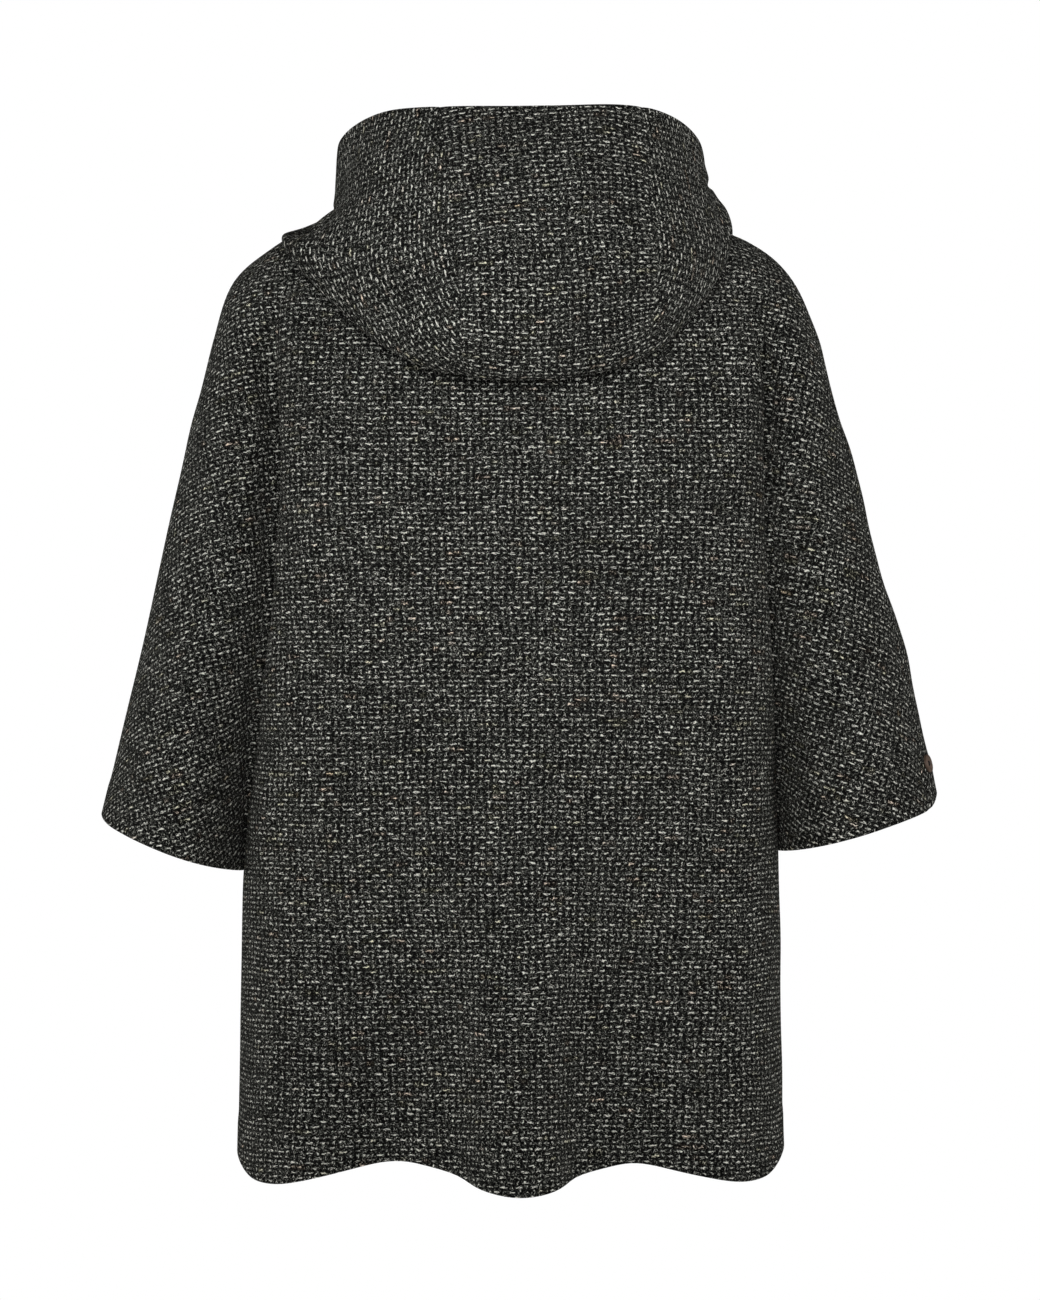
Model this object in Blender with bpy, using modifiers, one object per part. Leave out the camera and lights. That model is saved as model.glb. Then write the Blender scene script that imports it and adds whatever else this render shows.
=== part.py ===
"""A hooded tweed cape, worn with its hood down, as seven sewn pieces of cloth and trim.

The back and the two fronts are cut in one with their wide sleeves. They hang from the
shoulders as rings that run from the neckline to the hem, and a groove on each side parts the
sleeve from the body. The hood has a centre strip and two sides, and it lies on the back as a
pouch whose mouth looks up. Metres, +Z up, +X to the wearer's right, +Y to the wearer's front.
The origin is the middle of the neck at the height of the shoulder seam.
"""

import math

import bmesh
import bpy
import numpy as np
from mathutils import Matrix, Vector

# Cloth and seams
CLOTH = 0.0025
SEAM_GAP = 0.0003
HOOD_SEAM_GAP = 0.0005
HOOD_CLEARANCE = 0.0008

# How the cloth is divided: spans of each stretch, and a narrow span along a seam
BODY_SPANS = 14
WING_SPANS = 10
ROWS_TO_CUFF = 16
ROWS_BELOW_CUFF = 8
HOOD_ROWS = 20
HOOD_STRIP_SPANS = 9
HOOD_SIDE_SPANS = 16
EDGE_SPAN = 0.04
FOLD_HEIGHT = 0.44
FOLD_CROWDING = 0.06

# Places along the cape from neckline to hem, and round a half ring from centre back to centre front
CUFF = 0.65
HEM = 1.0
GROOVE, OVERARM, FRONT_GROOVE, CENTRE_FRONT = 1.0, 2.0, 3.0, 4.0

# Shape of the rings: how square they are, and where the groove starts on the shoulder
DOME_SQUARENESS = 2.2
BODY_SQUARENESS = 2.6
GROOVE_BEARING = math.radians(58)

# The cuff's edge bows down between the groove and the arm
CUFF_BOW = 1.25

# The cuff's outer corner and the hem's side corner are round: how far the edge rises there, over
# what width, and the place along the cape from which the cloth follows
CUFF_CORNER = {"right": 0.009, "left": 0.004}
CUFF_CORNER_WIDTH = 0.014
CUFF_CORNER_FROM = 0.50
HEM_CORNER = {"right": 0.014, "left": 0.012}
HEM_CORNER_WIDTH = 0.022
HEM_CORNER_FROM = 0.80

# How slowly each sleeve rises out of the groove: 1 is an ellipse, and more is a wider valley
SLEEVE_VALLEY = {"right": 1.0, "left": 1.7}

# The overarm seam lies behind the arm's outer line by this share of the sleeve's half
SEAM_TURN = {"right": 0.20, "left": 0.03}
SEAM_TURNED_BY = 0.26

# Button on the right front, above the cuff
BUTTON_RADIUS = 0.0075
BUTTON_RIM = 0.0016
BUTTON_THICK = 0.0032
BUTTON_DISH = 0.0012
BUTTON_ALONG = 0.613
BUTTON_SIDES = 24

CLOTH_COLOUR = (0.042, 0.042, 0.038, 1.0)
BUTTON_COLOUR = (0.085, 0.045, 0.028, 1.0)


def smooth(at, knots, values):
    """A cubic curve through the values at the knots, read at these places."""
    at = np.clip(at, knots[0], knots[-1])
    slopes = np.gradient(values, knots)
    i = np.clip(np.searchsorted(knots, at, side="right") - 1, 0, len(knots) - 2)
    span = knots[i + 1] - knots[i]
    s = (at - knots[i]) / span
    start = values[i] * (1 + 2 * s) + slopes[i] * span * s
    end = values[i + 1] * (3 - 2 * s) - slopes[i + 1] * span * (1 - s)
    return start * (1 - s) ** 2 + end * s**2


def ease(share):
    """0 to 1 with soft ends."""
    share = np.clip(share, 0, 1)
    return share * share * (3 - 2 * share)


class Table:
    """Rows of sizes with named columns. The first column is the place of each row."""

    def __init__(self, names, *rows):
        self.names = names.split()
        self.rows = np.array(rows, float)

    def read(self, name, at):
        return smooth(at, self.rows[:, 0], self.rows[:, self.names.index(name)])


# Each ring's reach from the neck's middle and its drop below the shoulder seam, from neckline to hem
RINGS = Table(
    "along back_out back_drop front_out front_drop right_out right_drop left_out left_drop",
    (0.00, 0.068, 0.018, 0.070, 0.048, 0.088, 0.000, 0.088, 0.000),
    (0.07, 0.100, 0.062, 0.104, 0.090, 0.142, 0.018, 0.145, 0.018),
    (0.14, 0.118, 0.112, 0.126, 0.140, 0.191, 0.036, 0.197, 0.036),
    (0.20, 0.127, 0.160, 0.138, 0.188, 0.224, 0.066, 0.236, 0.066),
    (0.26, 0.131, 0.210, 0.145, 0.236, 0.247, 0.116, 0.254, 0.116),
    (0.32, 0.133, 0.262, 0.148, 0.284, 0.261, 0.166, 0.266, 0.166),
    (0.42, 0.136, 0.350, 0.150, 0.365, 0.284, 0.249, 0.286, 0.249),
    (0.53, 0.140, 0.447, 0.151, 0.455, 0.317, 0.368, 0.313, 0.370),
    (0.65, 0.144, 0.546, 0.152, 0.546, 0.346, 0.500, 0.346, 0.512),
    (0.80, 0.147, 0.655, 0.155, 0.655, 0.346, 0.500, 0.346, 0.512),
    (1.00, 0.150, 0.800, 0.160, 0.800, 0.346, 0.500, 0.346, 0.512),
)

# The body's half-width, the groove between body and sleeve, and the sleeve's half-depth.
# Parted is 0 where the shoulder is one dome and 1 where body and sleeve are two forms.
SIDES = Table(
    "along right_half left_half right_side_drop left_side_drop groove sleeve_depth parted",
    (0.00, 0.100, 0.100, 0.010, 0.010, 0.070, 0.075, 0.00),
    (0.14, 0.165, 0.167, 0.075, 0.075, 0.072, 0.078, 0.00),
    (0.20, 0.188, 0.188, 0.112, 0.112, 0.070, 0.082, 0.30),
    (0.26, 0.196, 0.194, 0.163, 0.163, 0.065, 0.085, 0.72),
    (0.32, 0.198, 0.196, 0.213, 0.213, 0.067, 0.087, 1.00),
    (0.42, 0.201, 0.201, 0.307, 0.310, 0.066, 0.089, 1.00),
    (0.53, 0.207, 0.213, 0.415, 0.425, 0.054, 0.090, 1.00),
    (0.65, 0.213, 0.228, 0.539, 0.556, 0.004, 0.090, 1.00),
    (0.70, 0.214, 0.229, 0.575, 0.590, 0.00015, 0.090, 1.00),
    (1.00, 0.217, 0.233, 0.786, 0.790, 0.00015, 0.090, 1.00),
)

# Flutes of the skirt, towards the hem: place across, half-width, reach out at the hem, and how
# much lower the hem hangs there
FOLD_COLUMNS = ("across", "half_width", "out", "lower")
FOLDS = {
    "back": (
        (-0.002, 0.047, 0.032, 0.004),
        (-0.094, 0.052, -0.030, -0.016),
        (0.086, 0.044, -0.028, -0.014),
        (-0.208, 0.040, 0.012, 0.010),
        (0.190, 0.036, 0.012, 0.010),
    ),
    "front": (
        (-0.075, 0.042, 0.024, 0.002),
        (0.085, 0.046, 0.026, 0.003),
        (0.004, 0.030, -0.010, -0.006),
        (-0.160, 0.032, -0.016, -0.006),
        (0.165, 0.030, -0.014, -0.006),
    ),
}
FOLDS_FROM = 0.40

# The hood's section at each bearing from centre back: out from the neck's middle and drop, at
# five points from under the pouch round its fold to the brim
HOOD = Table(
    "bearing under_out under_drop fold_out fold_drop belly_out belly_drop"
    " waist_out waist_drop brim_out brim_drop",
    (-180, 0.0725, 0.0450, 0.0755, 0.0435, 0.0770, 0.0410, 0.0775, 0.0385, 0.0765, 0.0360),
    (-155, 0.0810, 0.0355, 0.0930, 0.0395, 0.1010, 0.0345, 0.0990, 0.0250, 0.0940, 0.0190),
    (-125, 0.1040, 0.0185, 0.1270, 0.0260, 0.1390, 0.0160, 0.1300, 0.0040, 0.1220, -0.0040),
    (-90, 0.1290, 0.0040, 0.1490, 0.0155, 0.1570, 0.0145, 0.1545, 0.0080, 0.1500, -0.0180),
    (-78, 0.1460, 0.0090, 0.1720, 0.0270, 0.1820, 0.0270, 0.1585, 0.0170, 0.1530, -0.0280),
    (-66, 0.1610, 0.0290, 0.1920, 0.0530, 0.2100, 0.0390, 0.1670, 0.0240, 0.1590, -0.0400),
    (-42, 0.1530, 0.0920, 0.1770, 0.1250, 0.2030, 0.0720, 0.1840, 0.0000, 0.1640, -0.0570),
    (0, 0.1340, 0.1120, 0.1640, 0.1600, 0.2020, 0.1000, 0.1900, 0.0100, 0.1520, -0.0570),
    (42, 0.1530, 0.0920, 0.1770, 0.1260, 0.2030, 0.0720, 0.1840, 0.0000, 0.1640, -0.0570),
    (65, 0.1580, 0.0300, 0.1790, 0.0560, 0.1890, 0.0390, 0.1670, -0.0040, 0.1590, -0.0430),
    (78, 0.1430, 0.0090, 0.1650, 0.0220, 0.1750, 0.0170, 0.1600, -0.0080, 0.1540, -0.0310),
    (90, 0.1300, 0.0020, 0.1530, 0.0120, 0.1640, 0.0050, 0.1555, -0.0100, 0.1510, -0.0190),
    (125, 0.1040, 0.0185, 0.1270, 0.0260, 0.1390, 0.0160, 0.1300, 0.0040, 0.1220, -0.0040),
    (155, 0.0810, 0.0355, 0.0930, 0.0395, 0.1010, 0.0345, 0.0990, 0.0250, 0.0940, 0.0190),
    (180, 0.0725, 0.0450, 0.0755, 0.0435, 0.0770, 0.0410, 0.0775, 0.0385, 0.0765, 0.0360),
)
HOOD_POINTS = ("under", "fold", "belly", "waist", "brim")
HOOD_KNOTS = np.array([0, 0.14, 0.28, 0.42, 0.60, 0.81, 1])

# Above the neck seam the hood bows away from the shoulders by this share of its reach there
NAPE_BOW = 0.085

# Bearings of the two seams beside the hood's centre strip, from the neck seam to the brim
HOOD_SEAMS = Table(
    "height left right",
    (0.00, -30, 36),
    (0.28, -21, 37),
    (0.42, -16, 35),
    (0.60, -14, 32),
    (0.81, -18, 34),
    (1.00, -24, 37),
)
HOOD_FRONT_BEARING = 178.5


def squircle(share, squareness):
    """The quarter of a squared circle: across rises 0 to 1 while away falls 1 to 0."""
    across = np.sin(share * math.pi / 2)
    away = np.maximum(1 - across**squareness, 0) ** (1 / squareness)
    return across, away


def folds(face, across, along):
    """How far the skirt's flutes stand out, and how much lower they hang."""
    grown = ease((along - FOLDS_FROM) / (HEM - FOLDS_FROM)) ** 1.2
    out, lower = np.zeros_like(across), np.zeros_like(across)
    for row in FOLDS[face]:
        fold = dict(zip(FOLD_COLUMNS, row))
        shape = np.exp(-(((across - fold["across"]) / fold["half_width"]) ** 2))
        out += grown * shape * fold["out"]
        lower += grown**3 * shape * fold["lower"]
    return out, lower


def corner(x, edge, width):
    """Rises from 0 to 1 towards an edge, over a width before it."""
    return np.clip((x - edge) / width + 1, 0, 1) ** 2


def face_quarter(place, along, side, face):
    """One quarter of each ring. Place runs from the centre, 0, over the groove, 1, to the arm, 2."""
    sign = 1 if side == "right" else -1
    out = RINGS.read(face + "_out", along)
    drop = RINGS.read(face + "_drop", along)
    reach = RINGS.read(side + "_out", along)
    arm_drop = RINGS.read(side + "_drop", along)
    half = SIDES.read(side + "_half", along)
    side_drop = SIDES.read(side + "_side_drop", along)
    groove = np.maximum(SIDES.read("groove", along), SEAM_GAP / 2)
    depth = SIDES.read("sleeve_depth", along)
    parted = np.clip(SIDES.read("parted", along), 0, 1)
    on_body = np.clip(place, 0, 1)
    on_sleeve = np.clip(place - 1, 0, 1)

    # The shoulder as one dome
    bearing = GROOVE_BEARING * on_body + (math.pi / 2 - GROOVE_BEARING) * on_sleeve
    across, away = squircle(bearing / (math.pi / 2), DOME_SQUARENESS)
    dome = np.stack([reach * across, out * away, drop + (arm_drop - drop) * across**2], axis=-1)

    # The body's quarter, from its centre to the groove
    across, away = squircle(on_body, BODY_SQUARENESS)
    flute, lower = folds(face, sign * half * across, along)
    near_hem = ease((along - HEM_CORNER_FROM) / (HEM - HEM_CORNER_FROM))
    raised = HEM_CORNER[side] * near_hem * corner(half * across, half, HEM_CORNER_WIDTH)
    body = np.stack(
        [
            half * across,
            groove + (out + flute - groove) * away,
            drop + lower - raised + (side_drop - drop) * across**2,
        ],
        axis=-1,
    )

    # The sleeve's half, an ellipse that starts in the groove
    start = np.arcsin(np.clip(groove / depth, 0, 1))
    width = (reach - half) / (1 + np.cos(start))
    turn = start + (math.pi - start) * on_sleeve
    sleeve_x = reach - width * (1 + np.cos(turn))
    rise = (np.sin(turn) - np.sin(start)) / (1 - np.sin(start))
    valley = groove + (depth - groove) * np.clip(rise, 0, 1) ** SLEEVE_VALLEY[side]
    sleeve_y = np.where(turn < math.pi / 2, valley, depth * np.sin(turn))
    share = ((sleeve_x - half) / (reach - half)) ** CUFF_BOW
    near_cuff = ease((along - CUFF_CORNER_FROM) / (CUFF - CUFF_CORNER_FROM))
    raised = CUFF_CORNER[side] * near_cuff * corner(sleeve_x, reach, CUFF_CORNER_WIDTH)
    sleeve_drop = side_drop - raised + (arm_drop - side_drop) * share
    sleeve = np.stack([sleeve_x, sleeve_y, sleeve_drop], axis=-1)

    lobed = np.where((place <= GROOVE)[..., None], body, sleeve)
    point = dome + (lobed - dome) * parted[..., None]
    facing = -1 if face == "back" else 1
    return point * np.array([sign, facing, -1])


def half_ring(place, along, side):
    """Points of a half ring. Place runs from centre back, 0, over the arm, 2, to centre front, 4."""
    back = face_quarter(np.minimum(place, OVERARM), along, side, "back")
    front = face_quarter(np.minimum(CENTRE_FRONT - place, OVERARM), along, side, "front")
    return np.where((place <= OVERARM)[..., None], back, front)


def seam_place(along, side):
    """Where the overarm seam lies on each half ring."""
    return OVERARM - SEAM_TURN[side] * ease(along / SEAM_TURNED_BY)


def half_gap(place, along, side):
    """Half a seam's gap, as a share of place, at these points."""
    step = 0.01
    low = np.clip(place - step, 0, CENTRE_FRONT)
    high = np.clip(place + step, 0, CENTRE_FRONT)
    moved = half_ring(high, along, side) - half_ring(low, along, side)
    return SEAM_GAP / 2 * (high - low) / np.linalg.norm(moved, axis=-1)


def back_point(stop, along):
    """A point of the back. Stop runs from the left seam, -2, over the centre to the right seam, 2."""
    points = np.zeros(stop.shape + (3,))
    for side, here in (("right", stop >= 0), ("left", stop < 0)):
        seam = seam_place(along, side)
        seam = seam - half_gap(seam, along, side)
        stretch = np.abs(stop)
        place = np.where(stretch > 1, 1 + (stretch - 1) * (seam - 1), stretch)
        points = np.where(here[..., None], half_ring(place, along, side), points)
    return points


def front_point(stop, along, side):
    """A point of one front. Stop runs from the overarm seam, -2, to centre front, 0."""
    seam = seam_place(along, side)
    seam = seam + half_gap(seam, along, side)
    edge = CENTRE_FRONT - half_gap(np.full_like(along, CENTRE_FRONT), along, side)
    wing = FRONT_GROOVE - (-1 - stop) * (FRONT_GROOVE - seam)
    body = edge + stop * (edge - FRONT_GROOVE)
    return half_ring(np.where(stop < -1, wing, body), along, side)


def hood_point(bearing, height):
    """A point of the hood at a bearing from centre back, in degrees, from neck seam, 0, to brim, 1."""
    side = np.where(bearing >= 0, 1, -1)
    turned = np.abs(bearing)
    # The neckline in that direction, found by turning the cape's own first ring to it
    place = np.interp(turned, *neckline_bearings())
    neck = half_ring(place, np.zeros_like(place), "right")
    neck_out = np.hypot(neck[..., 0], neck[..., 1])
    neck_drop = -neck[..., 2] - HOOD_CLEARANCE
    outs = [HOOD.read(point + "_out", bearing) for point in HOOD_POINTS]
    drops = [HOOD.read(point + "_drop", bearing) for point in HOOD_POINTS]
    nape_out = (neck_out + outs[0]) / 2 + NAPE_BOW * (drops[0] - neck_drop)
    nape_drop = (neck_drop + drops[0]) / 2 - NAPE_BOW * (outs[0] - neck_out)
    out = section([neck_out, nape_out, *outs], height)
    drop = section([neck_drop, nape_drop, *drops], height)
    angle = np.radians(turned)
    return np.stack([side * out * np.sin(angle), -out * np.cos(angle), -drop], axis=-1)


def neckline_bearings():
    """Bearings of the neckline's points from centre back, in degrees, and their places."""
    places = np.linspace(0, CENTRE_FRONT, 161)
    ring = half_ring(places, np.zeros_like(places), "right")
    return np.degrees(np.arctan2(ring[:, 0], -ring[:, 1])), places


def section(values, height):
    """The smooth curve through a section's points, where each point may differ from column to column."""
    values = np.array(values)
    slopes = np.gradient(values, HOOD_KNOTS, axis=0)
    i = np.clip(np.searchsorted(HOOD_KNOTS, height, side="right") - 1, 0, len(HOOD_KNOTS) - 2)
    span = HOOD_KNOTS[i + 1] - HOOD_KNOTS[i]
    s = (height - HOOD_KNOTS[i]) / span

    def pick(table, index):
        return np.take_along_axis(table, index[None], axis=0)[0]

    start = pick(values, i) * (1 + 2 * s) + pick(slopes, i) * span * s
    end = pick(values, i + 1) * (3 - 2 * s) - pick(slopes, i + 1) * span * (1 - s)
    return start * (1 - s) ** 2 + end * s**2


def hood_strip_point(share, height):
    """The hood's centre strip. Share runs from its left seam, 0, to its right seam, 1."""
    left, right = hood_seam_bearings(height, 1)
    return hood_point(left + share * (right - left), height)


def hood_side_point(share, height, side):
    """One side of the hood. Share runs from the strip's seam, 0, to the front edge, 1."""
    left, right = hood_seam_bearings(height, -1)
    seam = right if side == "right" else left
    front = HOOD_FRONT_BEARING if side == "right" else -HOOD_FRONT_BEARING
    return hood_point(seam + share * (front - seam), height)


def hood_seam_bearings(height, inwards):
    """The strip's two seams, each moved by half a gap towards the strip, 1, or away from it, -1."""
    found = []
    for name, towards in (("left", 1), ("right", -1)):
        bearing = HOOD_SEAMS.read(name, height)
        reach = np.linalg.norm(hood_point(bearing, height)[..., :2], axis=-1)
        found.append(bearing + inwards * towards * np.degrees(HOOD_SEAM_GAP / 2 / reach))
    return found


def stops(start, end, spans, narrow_start=False, narrow_end=False):
    """Even places from start to end, with a narrow span added beside an edge that is a seam."""
    even = np.linspace(start, end, spans + 1)
    step = even[1] - even[0]
    added = []
    if narrow_start:
        added.append(start + EDGE_SPAN * step)
    if narrow_end:
        added.append(end - EDGE_SPAN * step)
    return np.array(sorted([*even, *added], reverse=end < start))


def cloth_material(name, colour, roughness):
    material = bpy.data.materials.new(name)
    material.use_nodes = True
    shader = material.node_tree.nodes["Principled BSDF"]
    shader.inputs["Base Color"].default_value = colour
    shader.inputs["Roughness"].default_value = roughness
    return material


def panel(name, columns, rows, surface, material, cape, short_columns=None):
    """A wall of cloth: a grid laid on a surface and thickened towards the inside.

    Where short_columns marks a column, its cloth ends at the cuff.
    """
    grid = bmesh.new()
    bmesh.ops.create_grid(grid, x_segments=len(columns) - 1, y_segments=len(rows) - 1, size=0.5)
    grid.verts.ensure_lookup_table()
    across = np.array([vert.co.x for vert in grid.verts]) + 0.5
    down = np.array([vert.co.y for vert in grid.verts]) + 0.5
    column = np.rint(across * (len(columns) - 1)).astype(int)
    row = np.rint(down * (len(rows) - 1)).astype(int)
    points = surface(columns[column], rows[row])
    for vert, point in zip(grid.verts, points):
        vert.co = point
    if short_columns is not None:
        past = short_columns[column] & (rows[row] > CUFF + 1e-6)
        doomed = [vert for vert, gone in zip(grid.verts, past) if gone]
        bmesh.ops.delete(grid, geom=doomed, context="VERTS")
    mesh = bpy.data.meshes.new(name)
    grid.to_mesh(mesh)
    grid.free()
    mesh.shade_smooth()
    mesh.materials.append(material)
    cloth = bpy.data.objects.new(name, mesh)
    cape.objects.link(cloth)
    wall = cloth.modifiers.new("wall", "SOLIDIFY")
    wall.thickness = CLOTH
    wall.offset = -1
    return cloth


def cape_rows():
    to_cuff = np.linspace(0, CUFF, ROWS_TO_CUFF + 1)
    below = np.linspace(CUFF, HEM, ROWS_BELOW_CUFF + 1)[1:]
    return np.concatenate([to_cuff, below])


def half_stops():
    """Places of half a panel, from the centre, 0, over the groove, 1, to the overarm seam, 2."""
    body = stops(0, 1, BODY_SPANS, narrow_end=True)
    wing = stops(1, 2, WING_SPANS, narrow_end=True)
    return np.concatenate([body, wing[1:]])


def make_back(tweed, cape):
    half = half_stops()
    columns = np.concatenate([half[::-1], -half[1:]])
    return panel(
        "back", columns, cape_rows(), back_point, tweed, cape, short_columns=np.abs(columns) > 1
    )


def make_front(side, tweed, cape):
    half = -half_stops()
    # The centre front is an edge too, so its span is narrow
    columns = np.concatenate([half[:1], [-EDGE_SPAN / BODY_SPANS], half[1:]])
    if side == "left":
        columns = columns[::-1]

    def surface(stop, along):
        return front_point(stop, along, side)

    return panel(
        f"front_{side}", columns, cape_rows(), surface, tweed, cape, short_columns=columns < -1
    )


def hood_heights():
    """Rows from the neck seam to the brim, closest where the pouch turns at its fold."""
    even = np.linspace(0, 1, HOOD_ROWS + 1)
    wave = np.sin(2 * math.pi * (even - FOLD_HEIGHT))
    return even - FOLD_CROWDING * (wave - wave[0])


def make_hood(tweed, cape):
    heights = hood_heights()
    strip = stops(0, 1, HOOD_STRIP_SPANS, narrow_start=True, narrow_end=True)
    panel("hood_centre", strip, heights, hood_strip_point, tweed, cape)
    for side in ("right", "left"):
        shares = stops(0, 1, HOOD_SIDE_SPANS, narrow_start=True)

        def surface(share, height, side=side):
            return hood_side_point(share, height, side)

        columns = shares if side == "right" else shares[::-1]
        panel(f"hood_{side}", columns, heights, surface, tweed, cape)


def make_button(horn, cape):
    """A dished button that lies flat on the right front, beside the overarm seam and above the cuff."""
    beside_seam = np.array([-2, -2 + 1 / WING_SPANS])
    step = np.full(2, 0.02)
    above = front_point(beside_seam, BUTTON_ALONG - step, "right")
    here = front_point(beside_seam, BUTTON_ALONG + 0 * step, "right")
    below = front_point(beside_seam, BUTTON_ALONG + step, "right")
    seat = here.mean(axis=0)
    down = (below - above).mean(axis=0)
    outward = Vector(np.cross(here[1] - here[0], -down)).normalized()

    top = BUTTON_THICK
    profile = [
        (0, top - BUTTON_DISH),
        (BUTTON_RADIUS - 2 * BUTTON_RIM, top - BUTTON_DISH),
        (BUTTON_RADIUS - BUTTON_RIM, top),
        (BUTTON_RADIUS - BUTTON_RIM / 2, top),
        (BUTTON_RADIUS, top - BUTTON_RIM / 2),
        (BUTTON_RADIUS, BUTTON_RIM / 2),
        (BUTTON_RADIUS - BUTTON_RIM / 2, 0),
        (0, 0),
    ]
    mesh = bpy.data.meshes.new("cuff_button")
    ends = [(i, i + 1) for i in range(len(profile) - 1)]
    mesh.from_pydata([(radius, 0, height) for radius, height in profile], ends, [])
    mesh.materials.append(horn)
    button = bpy.data.objects.new("cuff_button", mesh)
    cape.objects.link(button)
    turned = button.modifiers.new("turned", "SCREW")
    turned.steps = turned.render_steps = BUTTON_SIDES
    turned.use_merge_vertices = True
    turned.merge_threshold = 0.00005
    seated = Matrix.Translation(Vector(seat) + outward * SEAM_GAP)
    button.matrix_world = seated @ outward.to_track_quat("Z", "Y").to_matrix().to_4x4()
    return button


def main():
    for old in list(bpy.data.objects):
        bpy.data.objects.remove(old)
    cape = bpy.data.collections.new("hooded_cape")
    bpy.context.scene.collection.children.link(cape)
    tweed = cloth_material("charcoal_tweed", CLOTH_COLOUR, 0.95)
    horn = cloth_material("brown_horn", BUTTON_COLOUR, 0.45)
    make_back(tweed, cape)
    make_front("right", tweed, cape)
    make_front("left", tweed, cape)
    make_hood(tweed, cape)
    make_button(horn, cape)


main()
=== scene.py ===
"""The looks of a hooded tweed cape, worn with its hood down and seen from behind.

Each piece of cloth is a thin shell on the form of its solid, cut, creased and sewn as the real
one is. Metres, +Z up, +X to the wearer's right, and the cape's back looks along -Y.
"""

import math

import bmesh
import bpy
import numpy as np
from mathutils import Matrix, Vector


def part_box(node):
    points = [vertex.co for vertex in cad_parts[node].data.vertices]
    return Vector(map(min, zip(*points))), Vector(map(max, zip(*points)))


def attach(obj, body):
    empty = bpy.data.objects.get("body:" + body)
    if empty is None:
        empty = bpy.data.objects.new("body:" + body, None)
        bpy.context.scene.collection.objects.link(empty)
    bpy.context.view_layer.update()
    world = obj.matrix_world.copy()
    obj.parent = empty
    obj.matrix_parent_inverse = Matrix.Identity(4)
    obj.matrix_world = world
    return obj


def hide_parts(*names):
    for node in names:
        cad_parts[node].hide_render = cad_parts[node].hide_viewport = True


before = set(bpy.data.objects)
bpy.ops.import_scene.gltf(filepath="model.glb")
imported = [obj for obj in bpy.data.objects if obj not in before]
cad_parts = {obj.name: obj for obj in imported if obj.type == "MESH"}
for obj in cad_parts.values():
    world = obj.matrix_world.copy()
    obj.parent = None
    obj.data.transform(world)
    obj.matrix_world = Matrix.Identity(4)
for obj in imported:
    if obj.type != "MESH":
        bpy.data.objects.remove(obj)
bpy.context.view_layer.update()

# The cloth of every piece: a thick, loose charcoal tweed in plain weave. Slubby wool weft in greys
# and cream lies over a thinner warp, with a few rust and straw flecks spun in. Its colour is
# painted darker the lower the yarn lies, so the darker warp and the near-black gaps between the
# yarns are painted shade. It is matt, and its nap catches only a little light.
WEFT_PITCH = 0.0041
WARP_PITCH = 0.0060
YARN_HEIGHT = 0.0011


def linear(hex_colour):
    """An sRGB colour written as hex, as the linear RGBA that the shader works in."""
    srgb = np.array([int(hex_colour[i : i + 2], 16) for i in (1, 3, 5)]) / 255
    light = np.where(srgb <= 0.04045, srgb / 12.92, ((srgb + 0.055) / 1.055) ** 2.4)
    return (*light, 1.0)


def add(tree, kind, *inputs, output=0, **settings):
    """Adds one node with its settings, feeds its sockets in their order, and gives one output."""
    made = tree.nodes.new("ShaderNode" + kind)
    for name, value in settings.items():
        setattr(made, name, value)
    for socket, value in zip(made.inputs, inputs):
        if isinstance(value, bpy.types.NodeSocket):
            tree.links.new(value, socket)
        elif value is not None:
            socket.default_value = value
    return made.outputs[output]


tweed = bpy.data.materials.new("charcoal_wool_tweed")
tweed.use_nodes = True
weave = tweed.node_tree
cut = add(weave, "UVMap", uv_map="cut")

# Slubby yarn never lies quite straight: rows and columns waver by some millimetres over some
# centimetres, and each float is a little bent and ragged. The floats of one row of weft don't
# stand square over those of the next.
broad = add(weave, "TexNoise", cut, None, 16.0, 1.0, noise_dimensions="2D", output="Color")
ragged = add(weave, "TexNoise", cut, None, 330.0, 1.0, noise_dimensions="2D", output="Color")
laid = add(weave, "VectorMath", broad, (0.0060, 0.0050, 0), cut, operation="MULTIPLY_ADD")
laid = add(weave, "VectorMath", ragged, (0.0026, 0.0015, 0), laid, operation="MULTIPLY_ADD")
counted = add(
    weave, "VectorMath", laid, (1 / WARP_PITCH, 1 / WEFT_PITCH, 0), operation="MULTIPLY"
)
row = add(weave, "Math", add(weave, "SeparateXYZ", counted, output="Y"), operation="FLOOR")
slid = add(weave, "TexWhiteNoise", None, row, noise_dimensions="1D")
slid = add(weave, "CombineXYZ", add(weave, "Math", slid, 0.26, operation="MULTIPLY"))
counted = add(weave, "VectorMath", counted, slid, operation="ADD")
crossing = add(weave, "VectorMath", counted, operation="FLOOR")
inside = add(weave, "VectorMath", counted, operation="FRACTION")
inside = add(weave, "VectorMath", inside, (0.5, 0.5, 0), operation="SUBTRACT")
column = add(weave, "SeparateXYZ", crossing, output="X")
warp_up = add(weave, "Math", column, row, operation="ADD")
warp_up = add(weave, "Math", warp_up, 2.0, operation="FLOORED_MODULO")
chance = add(weave, "TexWhiteNoise", crossing, noise_dimensions="2D")
length_chance = add(weave, "SeparateColor", chance.node.outputs["Color"])


def yarn_round(half_across, half_down):
    """How high a yarn stands in its crossing: 1 less the squared distance from its middle, measured
    in its own half sizes, and 0 beyond them."""
    reach = add(weave, "CombineXYZ", half_across, half_down, 1.0)
    place = add(weave, "VectorMath", inside, reach, operation="DIVIDE")
    square = add(weave, "VectorMath", place, place, operation="DOT_PRODUCT", output="Value")
    return add(weave, "Math", 1.0, square, operation="SUBTRACT", use_clamp=True)


float_half = add(weave, "Math", length_chance, 0.30, 0.44, operation="MULTIPLY_ADD")
weft_high = yarn_round(float_half, 0.29)
warp_high = add(weave, "Math", yarn_round(0.26, 0.50), 0.62, operation="MULTIPLY")
high = add(weave, "Mix", warp_up, None, weft_high, warp_high)

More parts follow.
